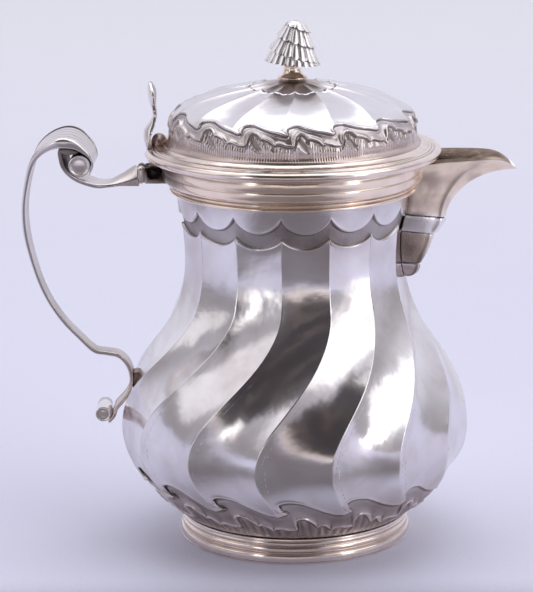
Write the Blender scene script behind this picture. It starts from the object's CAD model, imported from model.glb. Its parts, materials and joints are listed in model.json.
# A small covered silver jug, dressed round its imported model: fluted body with chased waves and
# scallops, cast spout, scrolled strap handle, domed lid and leafy finial.

import json
import math

import bpy
import numpy as np
from mathutils import Matrix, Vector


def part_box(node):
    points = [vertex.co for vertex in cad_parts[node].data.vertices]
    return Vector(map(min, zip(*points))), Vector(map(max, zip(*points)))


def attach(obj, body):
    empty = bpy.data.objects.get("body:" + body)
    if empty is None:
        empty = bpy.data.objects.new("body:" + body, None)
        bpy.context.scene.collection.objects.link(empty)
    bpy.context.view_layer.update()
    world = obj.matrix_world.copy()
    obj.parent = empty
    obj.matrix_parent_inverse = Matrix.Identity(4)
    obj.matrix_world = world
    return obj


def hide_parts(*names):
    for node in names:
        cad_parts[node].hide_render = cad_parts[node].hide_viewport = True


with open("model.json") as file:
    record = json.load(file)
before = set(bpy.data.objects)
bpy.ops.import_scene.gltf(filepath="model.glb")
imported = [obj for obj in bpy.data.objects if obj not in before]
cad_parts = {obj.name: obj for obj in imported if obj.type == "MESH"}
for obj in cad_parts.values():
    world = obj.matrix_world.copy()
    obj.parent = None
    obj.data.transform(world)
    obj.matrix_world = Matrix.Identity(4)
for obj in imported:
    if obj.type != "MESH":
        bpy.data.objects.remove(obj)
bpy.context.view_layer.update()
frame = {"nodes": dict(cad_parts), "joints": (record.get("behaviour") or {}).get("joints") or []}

# Sizes in millimetres, measured from the jug's own axis
MM = 0.001
foot_low, foot_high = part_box("foot_ring")
AXIS = (foot_low.x + foot_high.x) / 2
WALL = 1.0
GAP = 0.3
BASE_RADIUS = 34.6
BASE_HEIGHT = 8.0
BELLY_RADIUS = 52.5
BELLY_HEIGHT = 34.0
NECK_RADIUS = 33.0
NECK_HEIGHT = 87.0
MOUTH_RADIUS = 35.0
RIM_HEIGHT = 116.0
COLLAR_BOTTOM = 106.0
COLLAR_TOP = 116.3
FLANGE_BOTTOM = 116.6
FLANGE_TOP = 120.6
DOME_BOTTOM = 120.9
DOME_RADIUS = 36.9
DOME_TOP = 139.2
BEZEL_RADIUS = 33.0
SPOUT_WIDTH = 21.0
SPOUT_TIP = 66.6
SPOUT_BASE = 97.7
SPOUT_BASE_REACH = 45.5
SPOUT_BASE_WIDTH = 12.4
SPOUT_ROOT = 30.0
SPOUT_COLUMNS = 81
BAND_TILT = 0.16

# Flutes of the body and the lid
FLUTES = 15
PITCH = 360 / FLUTES
COLUMNS = 48 * FLUTES
FLUTE_AZIMUTH = -95.8
TWIST = 30.5
HOOK = 7.5
around = np.arange(COLUMNS) * 360 / COLUMNS


def clamp(t):
    return np.clip(t, 0, 1)


def smooth(t):
    t = clamp(t)
    return t * t * (3 - 2 * t)


def lerp(a, b, t):
    return a + (b - a) * t


def bezier(points, steps):
    a, b, c, d = (np.array(point, float) for point in points)
    t = np.linspace(0, 1, steps)[:, None]
    return (1 - t) ** 3 * a + 3 * t * (1 - t) ** 2 * b + 3 * t ** 2 * (1 - t) * c + t ** 3 * d


def tangents(line):
    """The direction of a line at each of its points."""
    run = np.gradient(line, axis=0)
    return run / np.linalg.norm(run, axis=1)[:, None]


def inset(outline, depth):
    """The outline moved to its left hand side, which is inwards on a profile that climbs."""
    tangent = tangents(outline)
    return outline + depth * np.stack([-tangent[:, 1], tangent[:, 0]], 1)


def repeating(points, at):
    """A value that repeats in each flute, through [degrees, value] points, with soft corners."""
    xs = [x for x, _ in points] + [points[0][0] + PITCH]
    values = [value for _, value in points] + [points[0][1]]
    shifts = np.linspace(-0.3, 0.3, 7)
    return np.mean([np.interp((at + s - xs[0]) % PITCH + xs[0], xs, values) for s in shifts], axis=0)


# Meshes

def linked(name, data):
    piece = bpy.data.objects.new(name, data)
    bpy.context.collection.objects.link(piece)
    return piece


def meshed(name, points, edges, faces):
    mesh = bpy.data.meshes.new(name)
    mesh.from_pydata(points, edges, faces)
    return linked(name, mesh)


def mode(name):
    bpy.ops.object.mode_set(mode=name)


def alone(piece):
    bpy.ops.object.select_all(action="DESELECT")
    bpy.context.view_layer.objects.active = piece
    piece.select_set(True)


def smooth_below(piece, degrees):
    """Shades a piece smooth, apart from the edges that are sharper than an angle."""
    alone(piece)
    bpy.ops.object.shade_smooth_by_angle(angle=math.radians(degrees))
    return piece


def grid_faces(rows, columns, loop_rows):
    j, i = np.meshgrid(np.arange(rows if loop_rows else rows - 1), np.arange(columns), indexing="ij")
    up = ((j + 1) % rows) * columns
    right = (i + 1) % columns
    low = j * columns
    return np.stack([low + i, low + right, up + right, up + i], -1).reshape(-1, 4).tolist()


def shell(name, rings, hollow=None, lined=None, loop_rows=False, angle=None):
    """A piece skinned over rings of equal count, each running anticlockwise, from below upwards."""
    rings = np.asarray(rings, float)
    rows, columns = rings.shape[:2]
    faces = grid_faces(rows, columns, loop_rows)
    if not loop_rows:
        faces.append(list(range(columns))[::-1])
        faces.append([(rows - 1) * columns + i for i in range(columns)])
    piece = meshed(name, (rings.reshape(-1, 3) * MM + [AXIS, 0, 0]).tolist(), [], faces)
    mesh = piece.data
    for key, rows_of in (("hollow", hollow), ("lined", lined)):
        if rows_of is not None:
            values = np.concatenate([np.broadcast_to(row, columns) for row in rows_of])
            layer = mesh.attributes.new(key, "FLOAT", "POINT")
            layer.data.foreach_set("value", values.astype(np.float32))
    mesh.polygons.foreach_set("use_smooth", np.ones(len(mesh.polygons), bool))
    if angle is not None:
        smooth_below(piece, angle)
    mesh.update()
    return piece


def turned(name, profile, steps=288):
    """Spins a closed profile of (radius, height) points about the jug's axis."""
    points = [(AXIS + r * MM, 0, z * MM) for r, z in profile]
    edges = [(i, (i + 1) % len(points)) for i in range(len(points))]
    piece = meshed(name, points, edges, [])
    alone(piece)
    mode("EDIT")
    bpy.ops.mesh.select_all(action="SELECT")
    bpy.ops.mesh.spin(steps=steps, angle=2 * math.pi, center=(AXIS, 0, 0), axis=(0, 0, 1))
    bpy.ops.mesh.select_all(action="SELECT")
    bpy.ops.mesh.remove_doubles(threshold=1e-6)
    bpy.ops.mesh.normals_make_consistent(inside=False)
    mode("OBJECT")
    return smooth_below(piece, 35)


def arc(centre, radius, start, end, steps):
    angles = np.radians(np.linspace(start, end, steps))
    return [(centre[0] + radius * math.cos(t), centre[1] + radius * math.sin(t)) for t in angles]


def primitive(add, name, scale=(1, 1, 1), **settings):
    """One of Blender's own solids as a piece, with its place, turn and scale applied."""
    bpy.ops.object.select_all(action="DESELECT")
    add(**settings)
    piece = bpy.context.active_object
    piece.name = name
    piece.scale = scale
    bpy.ops.object.transform_apply(location=True, rotation=True, scale=True)
    return piece


def block(name, low, high):
    """A plain block between two corners."""
    x, y, z = ((a + b) / 2 * MM for a, b in zip(low, high))
    return primitive(bpy.ops.mesh.primitive_cube_add, name, [(b - a) * MM for a, b in zip(low, high)],
                     size=1, location=(x + AXIS, y, z))


def drum(name, x, z, radius, y0, y1, sides=48):
    """A cylinder that lies across the jug, between two sides."""
    return primitive(
        bpy.ops.mesh.primitive_cylinder_add, name, vertices=sides, radius=radius * MM, depth=(y1 - y0) * MM,
        location=(AXIS + x * MM, (y0 + y1) / 2 * MM, z * MM), rotation=(math.pi / 2, 0, 0))


def joined(piece, other, operation):
    alone(piece)
    modifier = piece.modifiers.new("joined", "BOOLEAN")
    modifier.operation, modifier.solver, modifier.object = operation, "EXACT", other
    bpy.ops.object.modifier_apply(modifier=modifier.name)
    bpy.data.objects.remove(other)
    return piece


def cut_away(piece, cutter):
    return joined(piece, cutter, "DIFFERENCE")


def softened(piece, width, segments=3):
    """Rounds a piece's sharp edges."""
    alone(piece)
    bevel = piece.modifiers.new("soft edges", "BEVEL")
    bevel.width, bevel.segments, bevel.limit_method = width * MM, segments, "ANGLE"
    bpy.ops.object.modifier_apply(modifier=bevel.name)
    return smooth_below(piece, 40)


# Dirt, kept as masks on the points

def points_of(piece):
    points = np.empty(len(piece.data.vertices) * 3)
    piece.data.vertices.foreach_get("co", points)
    return points.reshape(-1, 3)


def about_axis(piece):
    """The x, y and z of a piece's points, in millimetres from the jug's axis."""
    return (points_of(piece) - [AXIS, 0, 0]).T / MM


def mask_layer(piece, name="hollow"):
    attributes = piece.data.attributes
    return attributes.get(name) or attributes.new(name, "FLOAT", "POINT")


def write_mask(layer, values):
    layer.data.foreach_set("value", clamp(values).astype(np.float32))


def darken(piece, amount):
    """Adds to how dark a piece is already."""
    layer = mask_layer(piece)
    before = np.zeros(len(layer.data))
    layer.data.foreach_get("value", before)
    write_mask(layer, before + amount)
    return piece


def soil(piece, amount):
    """Sets how dark a piece is from its points in millimetres."""
    write_mask(mask_layer(piece), amount(*about_axis(piece)))
    return piece


def settle_dirt(piece, strength=1.0):
    """Darkens what is hollow and clears what stands proud, from how the surface bends."""
    mesh, points = piece.data, points_of(piece)
    edges = np.empty(len(mesh.edges) * 2, int)
    mesh.edges.foreach_get("vertices", edges)
    a, b = edges.reshape(-1, 2).T

    def gathered(at_a, at_b):
        """What the edges bring to each point, added up."""
        total = np.zeros((len(points), *np.shape(at_a)[1:]))
        np.add.at(total, a, at_a)
        np.add.at(total, b, at_b)
        return total

    length = np.linalg.norm(points[a] - points[b], axis=1)[:, None] + 1e-9
    pull = gathered((points[b] - points[a]) / length, (points[a] - points[b]) / length)
    degree = np.maximum(gathered(1, 1), 1)
    normals = np.array([n.vector for n in mesh.vertex_normals])
    hollow = (pull * normals).sum(1) / degree * 3
    for _ in range(2):
        hollow = 0.5 * hollow + 0.5 * gathered(hollow[b], hollow[a]) / degree
    darken(piece, strength * hollow)
    write_mask(mask_layer(piece, "proud"), -1.5 * hollow)
    return piece


def coat(piece, finish):
    piece.data.materials.clear()
    piece.data.materials.append(finish)


def dress(piece, body, slot, finish, *replaced):
    coat(piece, finish)
    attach(piece, body)
    if replaced:
        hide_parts(*replaced)


# Shader maths

class Value:
    """The output of a node, on which Python's operators add Math nodes."""

    def __init__(self, finish, socket):
        self.finish = finish
        self.socket = socket

    def __add__(self, other):
        return self.finish.math("ADD", self, other)

    def __sub__(self, other):
        return self.finish.math("SUBTRACT", self, other)

    def __rsub__(self, other):
        return self.finish.math("SUBTRACT", other, self)

    def __mul__(self, other):
        return self.finish.math("MULTIPLY", self, other)

    def __abs__(self):
        return self.finish.math("ABSOLUTE", self)

    __radd__ = __add__
    __rmul__ = __mul__


class Finish:
    """A material whose nodes are added one by one."""

    def __init__(self, name, owner=None):
        self.material = owner or bpy.data.materials.new(name)
        self.material.use_nodes = True
        self.tree = self.material.node_tree
        self.shader = self.tree.nodes["Background" if owner else "Principled BSDF"]

    def node(self, kind, settings=None, inputs=None, output=0):
        node = self.tree.nodes.new("ShaderNode" + kind)
        for key, value in (settings or {}).items():
            setattr(node, key, value)
        for key, value in (inputs or {}).items():
            self.feed(node.inputs[key], value)
        return Value(self, node.outputs[output])

    def feed(self, socket, value):
        if isinstance(value, Value):
            self.tree.links.new(value.socket, socket)
        elif socket.type == "RGBA":
            socket.default_value = (*value, 1)
        else:
            socket.default_value = value

    def set(self, **values):
        for key, value in values.items():
            self.feed(self.shader.inputs[key.replace("_", " ")], value)

    def math(self, operation, first, second=0.0):
        return self.node("Math", {"operation": operation}, {0: first, 1: second})

    def step(self, value, low, high):
        """0 below low, 1 above high, smooth between."""
        return self.node("MapRange", {"interpolation_type": "SMOOTHSTEP"}, {0: value, 1: low, 2: high})

    def noise(self, scale, detail=3.0, where=None):
        inputs = {"Scale": scale, "Detail": detail, "Vector": where or self.place()}
        return self.node("TexNoise", None, inputs)

    def mix(self, share, first, second):
        return self.node("Mix", {"data_type": "RGBA"}, {0: share, 6: first, 7: second}, output=2)

    def mask(self, name):
        return self.node("Attribute", {"attribute_name": name}, output="Fac")

    def place(self, scale=(1, 1, 1)):
        """Object coordinates about the jug's axis, stretched by a scale."""
        spot = self.node("TexCoord", output="Object")
        return self.node("Mapping", None, {0: spot, 1: (-AXIS * scale[0], 0, 0), 3: scale})

    def axis(self, n, where=None):
        """The x, y or z of a place, by its number."""
        return self.node("SeparateXYZ", None, {0: where or self.place()}, output=n)

    def bump(self, height, strength=1.0):
        return self.node("Bump", None, {"Strength": strength, "Distance": 1.0, "Height": height})


CLEAN = (0.85, 0.825, 0.84)
WARM = (0.86, 0.71, 0.60)
BRONZE = (0.62, 0.49, 0.43)
BROWN = (0.36, 0.265, 0.235)
SOOT = (0.13, 0.088, 0.072)
BLACK = (0.022, 0.016, 0.015)

# Depths of the relief that the finishes add, in metres
SCRATCH_DEPTH = 0.000004
DENT_DEPTH = 0.0006
RIPPLE_DEPTH = 0.00009
GRAIN_DEPTH = 0.0002
CUT_DEPTH = 0.00006
WEAVE_DEPTH = 0.0002


def silver(name, tarnish, tone=CLEAN, roughness=0.14, dents=0.5, dirt=0.85, soot=SOOT,
           mottle=0.3, lined=False, warm_to=()):
    """Old polished silver: hand-beaten waviness, fine wiping scratches, warm tarnish in patches."""
    f = Finish(name)
    patches = f.step(f.noise(34.0, 4.0), 0.42, 0.72)
    film = f.step(f.noise(120.0), 0.35, 0.75)
    colour = f.mix((patches * (1 - mottle) + film * mottle) * tarnish, tone, BROWN)
    for full, none, strength in warm_to:
        edge = f.axis(2) + (f.noise(60.0) - 0.5) * (abs(none - full) * MM)
        share = f.step(edge, min(full, none) * MM, max(full, none) * MM)
        colour = f.mix((share if full > none else 1 - share) * strength, colour, BRONZE)
    hollow, proud = f.mask("hollow"), f.mask("proud")
    colour = f.mix(proud * 0.75, colour, CLEAN)
    colour = f.mix(hollow * (film * 0.25 + dirt * 0.85), colour, soot)
    rough = roughness + film * 0.06 + patches * 0.04 + hollow * 0.28
    height = f.noise(1.0, 2.0, f.place((300, 300, 2600))) * SCRATCH_DEPTH
    height = height + f.noise(46.0, 2.0) * (DENT_DEPTH * dents) + f.noise(160.0, 2.0) * (RIPPLE_DEPTH * dents)
    height = height + hollow * f.noise(2100.0, 2.0) * GRAIN_DEPTH
    if lined:
        turn = f.math("ARCTAN2", f.axis(1), f.axis(0)) + f.noise(90.0, 2.0) * 0.03
        line = f.math("SINE", turn * 300)
        cuts = f.mask("lined") * f.step(f.noise(1.0, 2.0, f.place((260, 260, 60))), 0.3, 0.55)
        height = height + cuts * line * CUT_DEPTH
        colour = f.mix(cuts * f.step(0 - line, 0.1, 0.9) * 0.6, colour, BROWN)
    f.set(Base_Color=colour, Metallic=1.0, Roughness=rough, Normal=f.bump(height))
    return f.material


def pale_cloth():
    """Pale cloth with a fine weave, faint broad shading and a darker stretch before the jug."""
    f = Finish("pale cloth")
    weave = f.noise(1.0, 1.0, f.place((900, 2600, 900))) + f.noise(1.0, 1.0, f.place((2600, 900, 900)))
    shade = f.step(f.noise(3.2), 0.3, 0.75) * 0.7 + f.step(weave, 0.8, 1.2) * 0.3
    x, y = f.axis(0), f.axis(1)
    before = (1 - f.step(abs(x + 0.01) + y * 0.4, 0.03, 0.13)) * (1 - f.step(abs(y + 0.37), 0.285, 0.325))
    near = f.mix(shade, (0.83, 0.83, 0.97), (0.77, 0.77, 0.93))
    tone = f.mix(f.step(y, 0.1, 1.3), near, (0.95, 0.95, 1.0))
    tone = f.mix(before, tone, (0.27, 0.25, 0.27))
    f.set(Base_Color=tone, Roughness=0.5, Normal=f.bump(weave * WEAVE_DEPTH, 0.35), Specular_IOR_Level=0.35)
    return f.material


# Each stain in warm_to: the height where it is full, the height where it ends, its strength
bright = silver("polished silver", 0.52, dents=1.2, warm_to=[(15, 27, 0.5)])
lid_silver = silver("polished silver lid", 0.36, roughness=0.19, dents=0.9, lined=True,
                    warm_to=[(122, 126, 0.7), (128, 131.5, 0.35), (138.4, 137.4, 0.7)])
warm = silver("warm silver", 0.45, (0.98, 0.81, 0.65), dents=0.8, mottle=0.6)
edge_silver = silver("lid edge silver", 0.35, (0.93, 0.79, 0.69), mottle=0.6)
cast = silver("cast silver", 0.8, (0.96, 0.80, 0.62), 0.17, dents=1.6, dirt=1.0, mottle=0.75)
banded = silver("band silver", 0.15, (0.90, 0.85, 0.82), 0.13, dents=0.9)
strap_silver = silver("strap silver", 0.5, (0.78, 0.73, 0.72), 0.15, warm_to=[(46, 66, 0.55)])
shaded = silver("shaded silver", 0.7, (0.46, 0.37, 0.33), 0.3, dents=0.4)
seam = silver("soldered seam", 0.8, (0.30, 0.23, 0.19), 0.38, dents=0.8)
inside = silver("inside silver", 0.6, WARM, 0.3, dents=0.6)
hinge_silver = silver("hinge silver", 0.35, (0.80, 0.74, 0.70), 0.2, dirt=1.2, soot=BLACK)
thumb_silver = silver("thumb silver", 0.25, (0.88, 0.84, 0.83), dents=0.3)
petal_silver = silver("petal silver", 0.1, (0.98, 0.95, 0.94), 0.22, dents=0.1, dirt=0.5)
pin_metal = silver("pin metal", 0.6, (0.6, 0.57, 0.55), 0.32, dents=0.2)
sooty = silver("sooty pin", 0.1, (0.03, 0.024, 0.022), 0.5, dents=0.2)


# Body

body_profile = np.concatenate([
    bezier([(BASE_RADIUS, BASE_HEIGHT), (41.6, 12.5), (BELLY_RADIUS, 22),
        (BELLY_RADIUS, BELLY_HEIGHT)], 60)[:-1],
    bezier([(BELLY_RADIUS, BELLY_HEIGHT), (BELLY_RADIUS, 56), (NECK_RADIUS, 63),
        (NECK_RADIUS, NECK_HEIGHT)], 90)[:-1],
    bezier([(NECK_RADIUS, NECK_HEIGHT), (NECK_RADIUS, 93), (33.8, 99), (MOUTH_RADIUS, COLLAR_BOTTOM)], 30),
    [(MOUTH_RADIUS, RIM_HEIGHT)],
])


def body_radius(z):
    return np.interp(z, body_profile[:, 1], body_profile[:, 0])


def arris_turn(z):
    return HOOK * smooth((31 - z) / 17) - TWIST * smooth((77 - z) / 43)


def flute_depth(z):
    depth = lerp(1.0, 1.9, smooth((NECK_HEIGHT - z) / (NECK_HEIGHT - BELLY_HEIGHT)))
    return depth * smooth((z - BASE_HEIGHT) / 12.6) * smooth((102 - z) / 9)


def scoop(at):
    """0 on an arris, 1 along the middle of a flute."""
    return 1 - (2 * ((at / PITCH) % 1) - 1) ** 2


def body_point(at, z, rise, radius=None):
    r = (body_radius(z) if radius is None else radius) - flute_depth(z) * scoop(at) + rise
    angle = np.radians(FLUTE_AZIMUTH + at + arris_turn(z))
    return np.stack([r * np.cos(angle), r * np.sin(angle), np.broadcast_to(z, r.shape)], -1)


class Line:
    """A chased line round a wall: where each column meets it, and how high."""

    def __init__(self, at, level, radius):
        self.at = at
        self.level = np.broadcast_to(level, at.shape).astype(float)
        self.radius = radius

    def beside(self, distance):
        """The same line moved up the wall, square to itself."""
        scale = math.pi / 180 * self.radius
        run = (np.roll(self.at, -1) - np.roll(self.at, 1) + 180) % 360 - 180
        rise = np.roll(self.level, -1) - np.roll(self.level, 1)
        length = np.hypot(run * scale, rise) + 1e-9
        side = -rise / length
        up = run * scale / length
        for _ in range(3):
            side, up = ((np.roll(v, 1) + v + np.roll(v, -1)) / 3 for v in (side, up))
        return Line(self.at + distance * side / scale, self.level + distance * up, self.radius)

    def towards(self, other, share):
        return Line(lerp(self.at, other.at, share), lerp(self.level, other.level, share), self.radius)


def wave_phase(offset):
    return (around - offset) % PITCH


def chased(points, phase, radius, up=None):
    """A line through points [column, place, height] that repeat in each flute."""
    shift = repeating([(p, t - p) for p, t, _ in points], phase)
    level = repeating([(p, z) for p, _, z in points], phase)
    return Line(around + shift, up(level) if up else level, radius)


# Breaking waves round the foot and the ruffle below them: the column of the mesh, the place
# along the line in degrees, and the height
FOOT_WAVE = [
    (0, 0.5, 19.4), (1, -0.3, 19.7), (2, -1.1, 20.3), (3, -1.5, 21), (4, -1.35, 21.8), (5, -0.7, 22.5),
    (6, 0.5, 23), (7.5, 2.6, 23.3), (9, 4.8, 23.2), (11, 7.6, 22.6), (13, 10.5, 21), (15.5, 13.6, 19.4),
    (18, 17.2, 18.3), (20.5, 20.4, 18.2), (22.3, 22.6, 18.75), (23.3, 23.9, 19.15)]
FOOT_RUFFLE = [
    (0, 0, 12.5), (1.5, 1.8, 12.4), (3, 3.8, 12.45), (3.8, 4.2, 12.9), (4.6, 3.8, 13.9), (5.4, 3.5, 15),
    (6.2, 3.8, 16.1), (7.2, 4.8, 16.8), (8.6, 6.5, 17), (10, 8.5, 16.4), (11.6, 10.6, 14.8),
    (12.8, 12.4, 13.2), (13.4, 12.6, 13.05), (13.9, 12.3, 13.4), (14.5, 12.6, 13.8), (15.5, 13.8, 14.05),
    (16.8, 15.4, 13.8), (18, 17, 12.8), (19, 18.6, 11.7), (19.5, 18.6, 11.8), (20, 18.6, 12.3),
    (20.8, 19.6, 12.8), (22, 21.3, 13.1), (23.2, 23, 12.9)]
foot_wave = chased(FOOT_WAVE, wave_phase(3.7), 46)
ruffle_phase = wave_phase(1.7)
foot_ruffle = chased(FOOT_RUFFLE, ruffle_phase, 43)


def hanging(cusp, drop, power):
    """A row of hanging scallops with their cusps on the arrises."""
    return Line(around, cusp - drop * scoop(around) ** power, NECK_RADIUS)


scallop_low = hanging(97.8, 3.1, 0.75)
scallop_high = hanging(104.0, 4.7, 0.7)


def banks(line, profile, *more):
    """Rows beside a chased line, from (distance, rise, tarnish) or (distance, rise) across it."""
    for distance, rise, *dark in profile:
        yield (line.beside(distance), rise, *(dark or [0]), *more)


def body_rows():
    """Rows of (line, rise above the wall, tarnish) from the base to the rim."""
    base = Line(around, BASE_HEIGHT, BASE_RADIUS)
    fold_foot = foot_ruffle.beside(-0.8)
    folds = 0.5 + 0.5 * np.cos(np.radians((ruffle_phase - 7) * 360 / 3.4))
    for share in np.linspace(0, 1, 14):
        sunk = smooth(share * 1.6) * (0.35 + 0.65 * folds)
        yield base.towards(fold_foot, share ** 0.9), -0.9 * sunk, 0.3 + 0.5 * sunk
    yield from banks(foot_ruffle, [
        (-0.5, -0.85, 1), (-0.3, -0.7, 0.9), (-0.12, 0, 0.2), (0.05, 0.35), (0.3, 0.45),
        (0.55, 0.3), (0.75, -0.05, 0.4)])
    low, high = foot_ruffle.beside(0.9), foot_wave.beside(-0.8)
    for share in np.linspace(0.03, 0.97, 13):
        sunk = math.sin(math.pi * share) ** 0.8
        yield low.towards(high, share), -0.1 - 0.45 * sunk - 0.3 * share, 0.42 + 0.15 * sunk
    yield from banks(foot_wave, [
        (-0.6, -0.5, 0.75), (-0.35, -0.65, 0.9), (-0.12, -0.7, 1), (0, -0.35, 0.8), (0.12, 0.1),
        (0.32, 0.28), (0.7, 0.15), (1.2, 0)])
    low, high = foot_wave.beside(1.5), scallop_low.beside(-1.1)
    for share in np.linspace(0, 1, 40):
        yield low.towards(high, lerp(share, smooth(share), 0.3)), 0, 0
    yield from banks(scallop_low, [
        (-0.8, 0.06), (-0.45, 0.18), (-0.15, 0.18), (0.02, -0.1, 0.3), (0.15, -0.5, 0.9),
        (0.35, -0.6, 1)])
    low, high = scallop_low.beside(0.5), scallop_high.beside(-0.5)
    for share in np.linspace(0, 1, 7):
        yield low.towards(high, share), -0.6, 0.72
    yield from banks(scallop_high, [
        (-0.32, -0.6, 1), (-0.14, -0.45, 0.9), (0, 0, 0.2), (0.18, 0.22), (0.5, 0.16)])
    low, high = scallop_high.beside(0.8), Line(around, COLLAR_BOTTOM + 0.4, MOUTH_RADIUS)
    for share in np.linspace(0, 1, 8):
        yield low.towards(high, share), 0.1 * (1 - share), 0.3 * share
    for z in (111, 115.6):
        yield Line(around, z, MOUTH_RADIUS), 0, 0.2
    yield Line(around, RIM_HEIGHT, MOUTH_RADIUS), -0.25, 0


def fluted_body():
    """The vessel: its chased outside, its plain inside and a pouring hole."""
    rows = list(body_rows())
    rings = [body_point(line.at, line.level, rise) for line, rise, _ in rows]
    hollow = [dark for _, _, dark in rows]
    inner = inset(body_profile, WALL)
    levels = [115.6, 110, 103, 97, *range(91, 27, -7), 22, 17, 13, 10.6]
    for z, radius, dark in [
        (RIM_HEIGHT, MOUTH_RADIUS - WALL + 0.2, 0),
        *((z, np.interp(z, inner[:, 1], inner[:, 0]), 0.15) for z in levels),
        (9.2, BASE_RADIUS - 2, 0.3),
    ]:
        rings.append(body_point(around, z, 0, np.full(COLUMNS, radius)))
        hollow.append(dark)
    return cut_away(shell("fluted_body", rings, hollow), pour_block())


def wall_room(levels, rise):
    """All that lies within the body's outer wall, as a cutter."""
    return shell("wall room", [body_point(around[::6], z, rise) for z in levels])


def beak_level(root, reach, width):
    """One level of the spout in plan: from one root round the nose to the other."""
    angle = np.radians(np.linspace(-90, 90, SPOUT_COLUMNS))
    roundness = 2 / 2.1
    x = root + (reach - root) * np.cos(angle).clip(0) ** roundness
    y = width / 2 * np.sign(angle) * np.abs(np.sin(angle)) ** roundness
    return np.stack([x, y], 1)


def keeled_level(root, reach, width):
    """A level with flat cheeks, a crease on each side and a narrow facet along the keel."""
    share = np.linspace(-1, 1, SPOUT_COLUMNS)
    aside = np.abs(share)
    corners = [-1, -0.32, -0.06, 0.06, 0.32, 1]
    out = np.interp(share, corners, [0, 0.9, 0.995, 0.995, 0.9, 0]) + 0.1 * (1 - aside) ** 2 * aside
    side = np.interp(share, corners, [-1, -0.42, -0.06, 0.06, 0.42, 1])
    side = side + 0.12 * np.sign(share) * np.sin(np.pi * clamp((aside - 0.32) / 0.68))
    return np.stack([root + (reach - root) * out, width / 2 * side], 1)


def rim_level(x):
    out = np.minimum(1, (x - MOUTH_RADIUS) / 22)
    along = np.maximum(0, (x - SPOUT_TIP + 9.6) / 9.6)
    return RIM_HEIGHT - 0.1 - 0.8 * (1 - np.sin(math.pi / 2 * out)) - 4.1 * along ** 3


def joint_rise(x):
    """How far the joints round the spout climb from its nose back towards the neck."""
    return BAND_TILT * (SPOUT_BASE_REACH - x)


def creased(plan, amount):
    """A plan outline with hollowed cheeks, a raised crease beside the keel and a proud keel."""
    share = np.abs(np.linspace(-1, 1, len(plan)))
    relief = 0.5 * np.exp(-((share - 0.34) / 0.05) ** 2) + 0.3 * np.exp(-(share / 0.07) ** 2)
    relief = relief - 0.3 * np.sin(np.pi * clamp((share - 0.4) / 0.6)) - 0.1 * (share < 0.3)
    tangent = np.gradient(plan, axis=0)
    tangent /= np.linalg.norm(tangent, axis=1)[:, None] + 1e-9
    relief = relief * smooth((1 - share) * 8) * amount
    return plan + relief[:, None] * np.stack([tangent[:, 1], -tangent[:, 0]], 1)


def rooted(plan, z):
    """A level as points, with both its ends carried on into the neck."""
    row = np.column_stack([plan, z])
    first, last = ([[SPOUT_ROOT, row[n, 1], row[n, 2]]] for n in (0, -1))
    return np.concatenate([first, row, last])


def beak_skin(margin, lift=0.0):
    """Rows of points over the beak's outside, grown by a margin and raised by a lift."""
    base = keeled_level(MOUTH_RADIUS - 1, SPOUT_BASE_REACH + margin, SPOUT_BASE_WIDTH + 2 * margin)
    rim = beak_level(MOUTH_RADIUS + 1, SPOUT_TIP + 1.3 * margin, SPOUT_WIDTH + 2 * margin)
    rows = []
    for v in np.linspace(0, 1, 36):
        across, up = v ** 1.65, math.sin(math.pi / 2 * v)
        flat = lerp(base, rim, across)
        plan = creased(flat, 1 - 0.8 * across)
        plan = lerp(plan, flat + (plan - plan.mean(0)) * 0.02, smooth((v - 0.84) / 0.08))
        rows.append(rooted(plan, lerp(SPOUT_BASE + joint_rise(base[:, 0]), rim_level(rim[:, 0]), up) + lift))
    return np.array(rows)


def beak_block(margin, top):
    rows = list(beak_skin(margin))
    rows.append(np.column_stack([rows[-1][:, :2], np.full(len(rows[-1]), top)]))
    return shell("spout room", rows)


def pour_block():
    """A shield-shaped plug where the neck opens into the spout."""
    half, height = [3.6, 7.0, 5.0, -5.0, -7.0, -3.6], [0, 7.3, 10.4, 10.4, 7.3, 0]
    return shell("pouring hole", [
        [(x, y, SPOUT_BASE + 2 + z) for y, z in zip(half, height)] for x in (26, 44)])


dress(fluted_body(), "jug", "polished_silver", bright, "body_vessel")


# Foot, collar and lid flange

BORE = MOUTH_RADIUS + GAP
LID_BORE = BEZEL_RADIUS - 0.8
FLANGE_LEDGE = FLANGE_BOTTOM + 1.8
foot_profile = [
    (32.4, 0.15), (34.6, 0), (34.9, 0.12), (34.95, 0.42), (34.7, 0.55), (34.97, 0.68), (35, 1.5),
    (34.95, 2.5), (34.8, 2.75), (34.35, 2.85), (34.2, 3), *arc((33.35, 4.25), 1.25, -45, 52, 16),
    (34.05, 5.35), (34.1, 5.5), *arc((33.95, 6.2), 0.66, -68, 60, 10), (34.25, 6.9), (34.35, 7),
    (34.6, 7.1), (34.75, 7.3), (34.7, 7.55), (34.5, 7.7), (32.4, 7.7),
]
collar_profile = [
    (BORE, COLLAR_BOTTOM + 0.4), (BORE + 1, COLLAR_BOTTOM + 0.4),
    *arc((BORE + 1.15, 106.95), 0.52, -80, 80, 9), (BORE + 0.9, 107.6), (BORE + 0.85, 107.85),
    (BORE + 1.2, 107.95), *arc((BORE + 1.35, 108.3), 0.32, -60, 70, 6), (BORE + 1.3, 108.75),
    (BORE + 1.45, 108.9),
    *bezier([(37.2, 109.0), (38.3, 109.3), (39.1, 110.4), (38.95, 112.3)], 14),
    (38.85, 112.45), (38.95, 112.6),
    *bezier([(39.1, 112.9), (39.5, 113.6), (39.5, 114.7), (39.25, 115.6)], 9),
    (39, COLLAR_TOP), (BORE, COLLAR_TOP),
]
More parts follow.
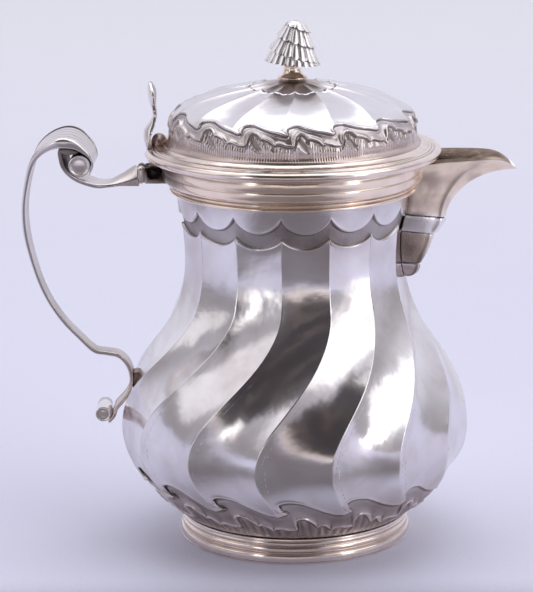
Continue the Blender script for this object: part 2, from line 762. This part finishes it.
flange_profile = [
    (LID_BORE, FLANGE_BOTTOM), (42.7, FLANGE_BOTTOM), *arc((42.85, 117.85), 1.3, -82, 112, 22),
    (42.2, 119), (42, 119.02), *arc((41.7, 119.2), 0.22, -20, 120, 5), (41.4, 119.32),
    (41.2, 119.28), *arc((40.95, 119.45), 0.22, -10, 120, 5), (40.6, 119.62),
    *bezier([(40.4, 119.62), (39.9, 119.75), (39.1, 120.15), (38.6, 120.6)], 8),
    (DOME_RADIUS, FLANGE_TOP), (DOME_RADIUS - 0.6, FLANGE_LEDGE), (LID_BORE, FLANGE_LEDGE),
]


def collar_soot(x, y, z):
    """Dark towards the hinge and the collar's top."""
    return 1.3 * smooth((-29.5 - x) / 7) * smooth((z - 108.6) / 2.6)


foot = settle_dirt(turned("foot_mouldings", foot_profile), 0.75)
dress(foot, "jug", "tarnished_silver", edge_silver, "foot_ring")
collar = settle_dirt(soil(turned("collar_mouldings", collar_profile), collar_soot), 0.75)
dress(cut_away(collar, beak_block(GAP, 120)), "jug", "tarnished_silver", warm, "neck_collar")
notch = block("notch", (-47, -4.8, 115), (-41.7, 4.8, 122))
flange = cut_away(settle_dirt(turned("lid_edge", flange_profile)), notch)
dress(flange, "lid", "tarnished_silver", edge_silver, "lid_flange")


# Spout

def spout_beak():
    outer = beak_skin(0)
    inner = beak_skin(-0.9, 0.9)
    inner[-1, :, 2] = outer[-1, :, 2]
    lip = (outer[-1] + inner[-1]) / 2 + [0, 0, 0.15]
    hollow = [0] * (len(outer) + 1) + [0.4] + [0.95] * (len(inner) - 1)
    piece = shell("spout_beak_cast", [*outer, lip, *inner[::-1]], hollow, loop_rows=True, angle=40)
    return cut_away(piece, wall_room((80, 90, 95, 100, 105, 110, 125), 0.1))


def nosed(name, levels):
    """A solid between level outlines (reach, width, height), trimmed back to the neck."""
    rows = []
    for reach, width, z in levels:
        plan = creased(keeled_level(MOUTH_RADIUS - 3, reach, width), 0.7)
        rows.append(rooted(plan, z + joint_rise(plan[:, 0])))
    return cut_away(shell(name, rows, angle=35), wall_room((70, 76, 82, 88, 94, 100, 104), 0.1))


def joint_dirt(piece, strength=0.75):
    """Old dirt left along the neck and over the joint above the band."""
    x, y, z = about_axis(piece)
    by_neck = 1 - smooth((np.hypot(x, y) - body_radius(z) - 0.4) / 2.6)
    by_band = (1 - smooth((z - SPOUT_BASE - joint_rise(x)) / 1.6)) * (1 - smooth((x - 38) / 4))
    return darken(piece, strength * np.maximum(by_neck * 0.8, by_band))


dress(joint_dirt(settle_dirt(spout_beak(), 0.6)), "jug", "tarnished_silver", cast, "spout_beak")
band = nosed("spout_band_moulded", [
    (42.2, 9.4, 92.1), (42.8, 10, 92.16), (43.3, 10.6, 92.5), (44.1, 11.4, 93.8), (45, 12.2, 95.2),
    (45.5, 12.7, 96.3), (45.6, 12.8, 96.8), (45.4, 12.6, 97.2), (44.8, 12, 97.4)])
dress(joint_dirt(settle_dirt(band), 0.5), "jug", "tarnished_silver", banded, "spout_band")
drop = nosed("spout_drop_tapered", [
    (37.4, 4.6, 81.9), (38.2, 5.6, 82.2), (39.4, 6.8, 84.5), (40.8, 8.2, 87.6), (41.8, 9.1, 90.4),
    (42.1, 9.4, 91.4), (41.7, 9, 91.8)])
dress(joint_dirt(settle_dirt(drop)), "jug", "tarnished_silver", cast, "spout_drop")
knob = nosed("spout_knob", [
    (33.6 + 4.4 * math.cos(t), 5.8 * math.cos(t), 81.6 - 4.2 * math.sin(t))
    for t in (math.radians(degrees) for degrees in (82, 74, 64, 54, 44, 34, 24, 14, 5, 0))])
dress(settle_dirt(knob), "jug", "tarnished_silver", shaded, "spout_bead")


# Handle

FLOW_STEPS = 10
STRAP_EDGE = 0.97
REEDED_SHARE = 0.82
BEAD_PLACE = 0.91
BEAD_HALF_WIDTH = 0.09


def flowing(stations):
    """A Catmull-Rom line through rows of numbers."""
    p = np.array([stations[0], *stations, stations[-1]], float)
    rows = []
    for i in range(1, len(p) - 2):
        for t in np.linspace(0, 1, FLOW_STEPS, endpoint=False):
            a, b, c, d = p[i - 1:i + 3]
            rows.append(0.5 * (2 * b + (c - a) * t + (2 * a - 5 * b + 4 * c - d) * t ** 2
                               + (3 * b - a - 3 * c + d) * t ** 3))
    rows.append(p[-2])
    return np.array(rows)


def strip(name, stations, count, reeds=0.0):
    """A strap along stations (x, z, width, thickness, bow) of one face, reeded lengthwise.

    A negative thickness lies on the line's other side, and a bow that isn't given is 0.
    """
    path = flowing([[*station, *[0] * (5 - len(station))] for station in stations])
    across = np.sin(np.linspace(-1, 1, count) * math.pi / 2 * STRAP_EDGE) / math.sin(math.pi / 2 * STRAP_EDGE)
    aside = np.abs(across)
    edge = np.sqrt(clamp(1 - aside ** 14))
    reed = np.abs(np.cos(np.clip(across / REEDED_SHARE, -1, 1) * math.pi * 2.5)) ** 0.7 - 1
    reed = np.where(aside > REEDED_SHARE, 0, reed)
    bead = np.sqrt(clamp(1 - ((aside - BEAD_PLACE) / BEAD_HALF_WIDTH) ** 2))
    troughs = clamp(-1.1 * reed - 0.25) * (reeds > 0)
    rings, hollow = [], []
    for (x, z, width, thickness, bow), (tx, tz) in zip(path, tangents(path[:, :2])):
        side = np.sign(thickness)
        thick = abs(thickness)
        relief = reeds * min(1, width / 20) * min(1, thick)
        depth_out = (1 - edge) * thick * 0.3 - relief * (reed + 0.6 * bead) + max(side, 0) * bow * across ** 2
        depth_in = thick * (1 - (1 - edge) * 0.3) + side * bow * aside ** (2 if side > 0 else 1.15)
        ring = []
        for c, depth in [*zip(across, depth_out), *zip(across[::-1], depth_in[::-1])]:
            ring.append((x + side * tz * depth, c * width / 2, z - side * tx * depth))
        crown = 0.35 + 0.6 * smooth((z - 113) / 6) * (x < -52)
        dark = np.concatenate([troughs, crown * (1 - aside[::-1] ** 8)])
        order = 1 if side < 0 else -1
        rings.append(ring[::order])
        hollow.append(dark[::order])
    return settle_dirt(shell(name, rings, hollow, angle=50))


hinge_at = frame["joints"][0]["pos_m"]
HINGE_X = (hinge_at[0] - AXIS) / MM
HINGE_Z = hinge_at[2] / MM
LID_OPENING = 55
LUG_X = -49.6
LUG_Z = 48.3
ROLL_SIDES = 64
upper_roll = {"x": HINGE_X - 21.5, "z": HINGE_Z + 3.1, "radius": 3.2, "length": 19.6}
lower_roll = {"x": LUG_X - 8.3, "z": LUG_Z - 10.2, "radius": 2.3, "length": 11.4}


def beside(roll, *rows):
    """Stations round a roll, from rows of (clearance, degrees, width, thickness)."""
    for clearance, degrees, *rest in rows:
        reach, angle = roll["radius"] + clearance, math.radians(degrees)
        yield (roll["x"] + reach * math.cos(angle), roll["z"] + reach * math.sin(angle), *rest)


def set_off(x, z, *rows):
    """Stations measured from a point, from rows of (dx, dz, width, thickness, bow)."""
    return [(x + dx, z + dz, *rest) for dx, dz, *rest in rows]


def swing_room(back, half):
    """Where the lid's own hinge parts lie when it is fully open, as a cutter."""
    angle, reach = math.radians(LID_OPENING), 12
    x = AXIS + (HINGE_X - reach / 2 * math.sin(angle)) * MM
    z = (HINGE_Z + reach / 2 * math.cos(angle)) * MM
    return primitive(bpy.ops.mesh.primitive_cube_add, "swing room", (2 * back, 2 * half, reach),
                     size=MM, rotation=(0, -angle, 0), location=(x, 0, z))


strap = strip("strap_reeded", [
    *beside(lower_roll, (0.5, -60, 11, 0.8), (0.5, -10, 11, 1.1), (1.7, 26, 10.4, 1.1)),
    *set_off(LUG_X, LUG_Z, (-1.6, -4.7, 8.6, 1.1), (-0.2, -0.7, 7.6, 1.1), (-0.8, 3.5, 7.2, 1.1),
        (-3.4, 6.7, 6.8, 1.1), (-7.1, 7.6, 6.4, 1.1), (-10.9, 8.4, 6.4, 1.1), (-14.9, 12.1, 6.4, 1.1),
        (-20.7, 18.5, 6.4, 1.1), (-25.5, 26.5, 7, 1.1), (-28.7, 35.7, 8.4, 1.1)),
    *set_off(HINGE_X, HINGE_Z, (-38.9, -18.7, 10.5, 1.1), (-39.2, -10.7, 12.5, 1.1), (-38.2, -3.6, 14.9, 1.1),
        (-36.4, 3.4, 18, 1.4), (-34, 7.6, 20.5, 2), (-30.3, 10.4, 22.4, 2.6)),
    *beside(upper_roll, (6.5, 119, 23.4, 3.1), (4.5, 98, 22.6, 2.8), (2.2, 72, 21.4, 1.6),
        (1.1, 36, 20.6, 0.7), (0.8, -1, 20, 0.5), (0.75, -43, 20, 0.4)),
], 81, 0.55)
dress(strap, "jug", "polished_silver", strap_silver, "handle_strap")
arm = strip("arm_strap", [
    *beside(upper_roll, (1.3, 96, 19.6, -1), (2.9, 119, 19.4, -2.5), (4.5, 142, 19, -1.4),
        (2.9, 169, 18.4, -1.4), (2.1, 200, 17, -1.4), (2, 237, 14.8, -1.4), (3.1, 273, 12.4, -1.4)),
    *set_off(HINGE_X, HINGE_Z, (-17, -4.6, 10, -1.4), (-13.5, -4.5, 9.2, -1.7, 0.6),
        (-9.8, -4.1, 8.8, -2.9, 1.9), (-4.4, -3.5, 8.7, -5.5, 4.4)),
], 41, 0.2)
smooth_below(cut_away(arm, swing_room(2.0, 6)), 35)
soil(arm, lambda x, y, z: 0.15 + 0.85 * smooth((z - upper_roll["z"] + 3) / 3) * (x < upper_roll["x"] + 1))
dress(arm, "jug", "polished_silver", strap_silver, "handle_arm")


def scroll_roll(name, roll):
    """A rolled end: a drum with a raised ring and a sunk disc on each end."""
    half = roll["length"] / 2
    piece = drum(name, roll["x"], roll["z"], roll["radius"], -half, half, ROLL_SIDES)
    mode("EDIT")
    bpy.ops.mesh.select_mode(type="FACE")
    for side in (-1, 1):
        for inward, sink in ((0.16, 0), (0.08, 0.4), (0.3, -0.12), (0.3, -0.08)):
            mode("OBJECT")
            for face in piece.data.polygons:
                face.select = len(face.vertices) == ROLL_SIDES and face.normal.y * side > 0.9
            mode("EDIT")
            bpy.ops.mesh.inset(thickness=inward * roll["radius"] * MM, depth=0)
            bpy.ops.transform.translate(value=(0, -side * sink * MM, 0))
    mode("OBJECT")
    softened(piece, 0.12, 2)
    soil(piece, lambda x, y, z: 0.55 * (np.abs(y) < half - 0.4))
    return settle_dirt(piece, 0.8)


dress(scroll_roll("upper_roll_drum", upper_roll), "jug", "tarnished_silver", banded, "handle_upper_roll")
dress(scroll_roll("lower_roll_drum", lower_roll), "jug", "tarnished_silver", banded, "handle_lower_roll")


# Lid

dome_profile = np.concatenate([
    bezier([(DOME_RADIUS + 1.2, DOME_BOTTOM), (37.2, 121.1), (DOME_RADIUS, 121.8), (DOME_RADIUS, 122.8)], 14),
    [(DOME_RADIUS, 124.1), (DOME_RADIUS, 125)],
    bezier([(DOME_RADIUS, 126), (DOME_RADIUS, 132), (27, 136.6), (0, DOME_TOP)], 90),
])
dome_length = np.concatenate([[0], np.cumsum(np.linalg.norm(np.diff(dome_profile, axis=0), axis=1))])
dome_tangent = tangents(dome_profile)
LID_SWIRL = 14
RING_RADIUS = 13.4
LID_FLUTE_DEPTH = 0.75


def up_dome(z):
    """Distance up the dome's side to a height."""
    return np.interp(z, dome_profile[:, 1], dome_length)


def in_to(radius):
    """Distance up the dome to a radius on its crown."""
    return np.interp(-radius, -dome_profile[:, 0], dome_length)


def dome_point(at, along, rise):
    r, z, tr, tz = (np.interp(along, dome_length, column) for column in [*dome_profile.T, *dome_tangent.T])
    inwards = 1 - r / DOME_RADIUS
    fade = smooth(inwards * 8) * smooth((r - 4.3) / 8)
    rise = rise - LID_FLUTE_DEPTH * fade * scoop(at)
    angle = np.radians(FLUTE_AZIMUTH + at + LID_SWIRL * inwards)
    radius = r + rise * tz
    return np.stack([radius * np.cos(angle), radius * np.sin(angle), z - rise * tr], -1)


LID_WAVE = [
    (0, 0.4, 129.1), (1, -0.1, 129.5), (2, -0.45, 130), (3, -0.3, 130.6), (4.2, 0.7, 131.05), (6, 2.6, 131.3),
    (8, 5, 131.4), (10, 7.6, 131), (13, 11.4, 130.3), (16, 15.2, 129.7), (19, 18.8, 129.3),
    (22, 22.4, 128.7), (23.2, 23.8, 128.8)]
LID_RUFFLE = [
    (0, 0, 125.5), (2.4, 3.2, 125.5), (3.4, 4.1, 126.2), (4.4, 4.1, 127.6), (5.4, 4.7, 128.8),
    (6.6, 6.2, 129.4), (8.6, 8.6, 129), (10.6, 10.8, 127.8), (11.3, 11, 127.6), (12.4, 12, 127.8),
    (13.5, 13.5, 127.5), (15.8, 15.8, 127), (17.8, 18, 125.8), (18.6, 18.1, 125.9), (20, 19.8, 126.3),
    (22.3, 22.3, 125.9)]
lid_phase = (around - 2.8 + 2.2 * np.sin(np.radians(3 * (around - 5.8)))) % PITCH
lid_wave = chased(LID_WAVE, lid_phase, DOME_RADIUS, up_dome)
lid_ruffle = chased(LID_RUFFLE, lid_phase, DOME_RADIUS, up_dome)


def leaf_fold(share):
    """A slanting leaf-shaped hollow below the tall head of each ruffle."""
    centre = 5.6 + 5.5 * (1 - share)
    width = 2.5 * np.sin(np.pi * smooth(share)) ** 0.6 + 0.1
    return np.exp(-((lid_phase - centre) / width) ** 4) * smooth(share * 3)


def dome_rows():
    """Rows of (line, rise above the wall, tarnish, engraving): up the outside, down the inside."""
    for z, lines in ((DOME_BOTTOM, 0), (121.3, 0.2), (121.8, 0.6), (122.4, 0.8), (123.0, 0.9)):
        yield Line(around, up_dome(z), DOME_RADIUS), 0, 0.1, lines
    low, high = Line(around, up_dome(123.3), DOME_RADIUS), lid_ruffle.beside(-0.75)
    folds = 0.5 + 0.5 * np.cos(np.radians((lid_phase - 6) * 360 / 3.9))
    for share in np.linspace(0, 1, 20):
        leaf = leaf_fold(share)
        sunk = smooth(share ** 1.5) * (0.35 + 0.45 * folds) + 1.1 * leaf
        yield low.towards(high, share), -0.75 * sunk, 0.12 * sunk + 0.5 * leaf, 1 - 0.8 * leaf
    yield from banks(lid_ruffle, [
        (-0.5, -0.75, 0.8), (-0.22, -0.6, 0.9), (-0.02, 0, 0.3), (0.14, 0.3), (0.35, 0.3),
        (0.65, 0, 0.3)], 0)
    low, high = lid_ruffle.beside(0.75), lid_wave.beside(-0.6)
    for share in np.linspace(0.03, 0.97, 10):
        sunk = math.sin(math.pi * share)
        yield low.towards(high, share), -0.15 - 0.35 * sunk - 0.2 * share, 0.15 + 0.2 * sunk, 0
    yield from banks(lid_wave, [
        (-0.5, -0.4, 0.4), (-0.28, -0.6, 0.9), (-0.1, -0.6, 1), (0, -0.25, 0.7), (0.12, 0.1),
        (0.3, 0.22), (0.65, 0.12), (1.1, 0)], 0)
    lobes = np.abs(np.sin(np.radians(around * 19)))
    ring = Line(around, in_to(RING_RADIUS) + (1 - lobes ** 0.6), RING_RADIUS)
    low, high = lid_wave.beside(1.3), ring.beside(-0.5)
    for share in np.linspace(0, 1, 34):
        yield low.towards(high, lerp(share, smooth(share), 0.25)), 0, 0, 0
    yield from banks(ring, [
        (-0.35, 0.12), (-0.1, 0.2), (0.03, 0.05, 0.3), (0.12, -0.3, 0.9), (0.35, -0.35, 0.8)], 0)
    low, high = ring.beside(0.5), Line(around, in_to(5.2), 5)
    for share in np.linspace(0.05, 1, 8):
        yield low.towards(high, share), lerp(-0.35, 0, share), lerp(0.15, 0.4, share), 0
    yield Line(around, in_to(4.0), 4), 0, 0.6, 0
    yield Line(around, in_to(1.8), 2), 0, 0.6, 0
    for along in np.linspace(in_to(1.8), 0, 18):
        yield Line(around, along, DOME_RADIUS), -WALL, 0.3, 0


def lid_dome():
    lines, rises, hollow, lined = zip(*dome_rows())
    rings = [dome_point(line.at, line.level, rise) for line, rise in zip(lines, rises)]
    return shell("dome_chased", rings, hollow, lined, loop_rows=True)


dress(lid_dome(), "lid", "polished_silver", lid_silver, "lid_dome")


# Finial

STEM_TOP = 143.9
STEM_BOTTOM = 139.5
stem_profile = [
    (1.8, STEM_BOTTOM), (4.3, STEM_BOTTOM), *arc((4.2, 139.85), 0.3, -60, 90, 6),
    *bezier([(3.9, 140.2), (3.1, 140.6), (2.6, 141.2), (2.5, 142.4)], 9),
    *bezier([(2.5, 142.6), (2.5, 143.2), (2.6, 143.5), (2.8, STEM_TOP)], 5),
    (1.8, STEM_TOP),
]
BUD_BOTTOM = 144.2
BUD_TOP = 156.6
BUD_LEAN = 5.2
LEAF_PITCH = 4.2
LEAF_TILT = 0.09
BUD_COLUMNS = 336


def bud_ring(radius, angle, z):
    """One ring of the bud, leaned over towards the spout."""
    lean = math.radians(BUD_LEAN)
    x, y, up = radius * np.cos(angle), radius * np.sin(angle), z + 0 * angle - BUD_BOTTOM
    return np.stack([x * math.cos(lean) + up * math.sin(lean), y,
                     up * math.cos(lean) - x * math.sin(lean) + BUD_BOTTOM], -1)


def finial_bud():
    """A cone wound with one long strip of ribbed, round-ended leaves that overlaps itself."""
    angle = np.radians(np.arange(BUD_COLUMNS) * 360 / BUD_COLUMNS)
    rim_z = [144.2, 146.4, 148.6, 150.6, 152.6, 154.6, 155.8, BUD_TOP]
    rim_r = [8.2, 7.6, 6.8, 5.9, 5.0, 4.0, 3.2, 1.7]
    rings, dark = [], []
    for inwards, z in ((5.4, 145.6), (3.0, 145.2), (1.2, 144.7), (0.4, 144.35)):
        rings.append(bud_ring(rim_r[0] - inwards, angle, z))
        dark.append(0 * angle + 1)
    for z in [*np.linspace(BUD_BOTTOM, 155.4, 190), *np.linspace(155.45, BUD_TOP, 24)]:
        cone = np.interp(z, rim_z, rim_r)
        wound = (z - 149.55 + LEAF_TILT * cone * np.cos(angle)) / LEAF_PITCH + angle / (2 * math.pi)
        turn = np.floor(wound)
        share = wound - turn
        first = z - share * LEAF_PITCH < BUD_BOTTOM
        share = np.where(first, np.minimum(share, (z - BUD_BOTTOM) / LEAF_PITCH), share)
        leaves = np.maximum(7, np.round(2.5 * np.interp(z - share * LEAF_PITCH, rim_z, rim_r)))
        leaf = np.abs(np.sin(angle * leaves / 2 + 0.6 * turn))
        under = smooth((0.17 * (1 - leaf ** 0.5) - share) / 0.05)
        size = np.clip(cone / 5.5, 0.2, 1)
        proud = 0.3 - 1.0 * share ** 0.8 + 0.6 * (leaf ** 0.6 - 1)
        rings.append(bud_ring(np.maximum(cone + size * lerp(proud, -1.5, under), 0.3), angle, z))
        grooves = 0.7 * (1 - leaf) ** 1.5
        dark.append(clamp(grooves + under + smooth((share - 0.8) / 0.2)))
    return shell("bud_leaves", rings, dark, angle=70)


dress(turned("stem_turned", stem_profile, steps=96), "lid", "tarnished_silver", warm, "finial_stem")
dress(finial_bud(), "lid", "polished_silver", petal_silver, "finial_bud")


# Thumbpiece

thumb = strip("thumb_leaf", set_off(
    HINGE_X - 2.2, FLANGE_BOTTOM + 0.2,
    (0.7, -2.2, 3.6, 0.8), (0.7, -0.2, 3.6, 0.8), (0.45, 1.1, 6.6, 0.9, 0.2), (-0.15, 2.8, 8, 1, 0.6),
    (-0.75, 5.3, 8, 1, 1.4), (-0.4, 7.9, 7.4, 1, 1.8), (1.1, 10.1, 5.6, 1.1, 1),
    (2.1, 12, 4, 1.1, 0.2), (2, 13.4, 4.8, 1.1, 0.2), (1.3, 15.3, 9.3, 1.1, 0.9),
    (0.8, 18, 11, 1.1, 1.4), (0.7, 20.1, 8.8, 1, 1.1), (0.9, 21.9, 3.9, 0.8, 0.4)), 31)
dress(thumb, "lid", "polished_silver", thumb_silver, "thumbpiece")


# Hinge

def hinge_smoke(x, y, z):
    """Black round the pin, smoked towards the top of the cheeks."""
    near_pin = np.hypot(x - HINGE_X, z - HINGE_Z) < 2.2
    return np.where(near_pin, 1, (0.25 + 0.6 * smooth((z - 109) / 3)) * (x > -43.95))


def hinge_body():
    """The fixed half of the hinge: a ribbed end, two worn cheeks and the pin's sunk holes."""
    piece = softened(block("hinge_block_worn", (-46.35, -4.4, 108.6), (-44.0, 4.4, 113.9)), 1.3, 5)
    joined(piece, softened(block("cheeks", (-44.3, -4.3, 108.7), (-36.9, 4.3, 113.6)), 0.7), "UNION")
    for x in (-45.6, -44.75):
        core = block("core", (x - 1, -4.1, 108.9), (x + 1, 4.1, 113.8))
        cut_away(piece, cut_away(block("groove", (x - 0.14, -5, 108), (x + 0.14, 5, 115)), core))
    cut_away(piece, block("slot", (-43.9, -2.1, 109.8), (-38, 2.1, 115)))
    cut_away(piece, swing_room(2.2, 2.15))
    for name, radius, y0, y1 in (("knuckle room", 2.2, -2.15, 2.15), ("hole", 0.85, -6, 6),
                                 ("sunk", 1.9, -6, -3.5), ("sunk", 1.9, 3.5, 6)):
        cut_away(piece, drum(name, HINGE_X, HINGE_Z, radius, y0, y1))
    room = [(0, 104), (38.2, 104), (38.2, 111.6), (39.4, 112.8), (39.4, 115), (0, 115)]
    cut_away(piece, turned("collar room", room, 180))
    return soil(smooth_below(piece, 35), hinge_smoke)


def lug_pad():
    """The small rounded pad of solder between the strap and the belly."""
    pad = softened(block("lug_pad", (-49.2, -2.9, 45.0), (-46.2, 2.9, 50.6)), 1.2)
    return cut_away(pad, wall_room((40, 43, 46, 49, 52, 55), 0.05))


def cushion():
    """The rounded brace between the thumbpiece and the lid's wall."""
    piece = primitive(
        bpy.ops.mesh.primitive_uv_sphere_add, "brace_cushion", (2.35, 3.6, 2.75),
        segments=48, ring_count=32, radius=MM, location=(AXIS - 39.75 * MM, 0, 120.55 * MM))
    mode("EDIT")
    bpy.ops.mesh.select_all(action="SELECT")
    bpy.ops.mesh.bisect(plane_co=(0, 0, 118.7 * MM), plane_no=(0, 0, -1), use_fill=True, clear_outer=True)
    mode("OBJECT")
    return smooth_below(piece, 40)


dress(hinge_body(), "jug", "tarnished_silver", hinge_silver, "hinge_block")
dress(cushion(), "lid", "tarnished_silver", shaded, "thumbpiece_brace")
dress(lug_pad(), "jug", "tarnished_silver", seam, "handle_lug")

# Pieces whose solids already have their full shape keep them and get a finish
for node, finish in {
    "hinge_leaf": shaded, "hinge_pin": sooty, "lid_bezel": inside, "finial_stud": pin_metal,
    "finial_washer": pin_metal, "finial_nut": pin_metal,
}.items():
    coat(frame["nodes"][node], finish)


# Floor, light and camera

def floor():
    piece = primitive(bpy.ops.mesh.primitive_plane_add, "floor", size=8, location=(0, 2, 0))
    piece.data.materials.append(pale_cloth())


def soft_light(name, size, energy, place, aim):
    light = bpy.data.lights.new(name, "AREA")
    light.shape = "RECTANGLE"
    light.size, light.size_y = size
    light.energy = energy
    lamp = linked(name, light)
    lamp.location = place
    x, y, z = np.array(aim, float) - np.array(place, float)
    pitch = math.atan2(z, math.hypot(x, y))
    lamp.rotation_euler = (math.pi / 2 + pitch, 0, math.atan2(y, x) - math.pi / 2)


def studio():
    """A pale room, dim and warm on the photographer's side, with a lit table's edge before it."""
    sky = Finish("studio", bpy.data.worlds.new("studio"))
    bpy.context.scene.world = sky.material
    direction = sky.node("TexCoord", output="Generated")
    x, y, z = (sky.axis(n, direction) for n in range(3))
    facing = sky.node("VectorMath", {"operation": "DOT_PRODUCT"},
                      {0: direction, 1: (-0.08, -0.82, 0.56)}, output=1)
    clouds = sky.noise(2.4, 2.0, direction) - 0.5
    things = sky.step(sky.noise(6.0, 3.0, direction), 0.52, 0.62)
    walls = sky.mix(sky.step(z, 0.1, 0.8), (0.42, 0.40, 0.43), (0.86, 0.86, 0.94))
    walls = sky.mix(things * 0.3, walls, (0.30, 0.27, 0.28))
    left = 1 - sky.step(x, -0.8, -0.25)
    walls = sky.mix(left * 0.6, walls, (0.32, 0.30, 0.33))
    far = sky.mix(sky.step(y, 0.1, 0.8), walls, (0.80, 0.80, 0.90))
    room = sky.mix(things * 0.3, (0.06, 0.055, 0.062), (0.32, 0.25, 0.22))
    table = 1 - sky.step(z + clouds * 0.1, 0.03, 0.13)
    room = sky.mix(table, room, (1.0, 0.90, 0.86))
    side = x + 0.04
    dim = sky.step(facing - side * side * 1.5 + clouds * 0.2, 0.48, 0.60)
    sky.set(Color=sky.mix(dim, far, room), Strength=1.0)


LENS = 163.3
SENSOR_WIDTH = 36
NEAREST = 0.01
EYE = (AXIS, -0.7863, 0.2661)
PAN, TILT, ROLL = (math.radians(degrees) for degrees in (0.598, -13.78, -0.5))


def camera():
    """The photograph's viewpoint."""
    data = bpy.data.cameras.new("camera")
    data.lens, data.sensor_width, data.clip_start = LENS, SENSOR_WIDTH, NEAREST
    eye = linked("camera", data)
    eye.location = EYE
    turn = (Matrix.Rotation(PAN, 3, "Z") @ Matrix.Rotation(math.pi / 2 + TILT, 3, "X")
            @ Matrix.Rotation(ROLL, 3, "Z"))
    eye.rotation_euler = turn.to_euler()
    bpy.context.scene.camera = eye


floor()
studio()
soft_light("left window", (1.0, 1.2), 2.0, (-1.25, -0.35, 0.9), (0, 0, 0.08))
soft_light("right window", (1.1, 1.1), 3.4, (1.2, -0.5, 0.85), (0, 0, 0.08))
soft_light("top", (2.2, 2.0), 11.5, (0.05, 0.35, 1.9), (0, 0.2, 0.0))
soft_light("low right strip", (0.16, 0.4), 0.5, (0.8, -0.62, 0.16), (0, 0, 0.1))
soft_light("low left strip", (0.12, 0.4), 0.3, (-0.6, -0.85, 0.25), (0, 0, 0.1))
camera()
bpy.context.scene.view_settings.view_transform = "Standard"
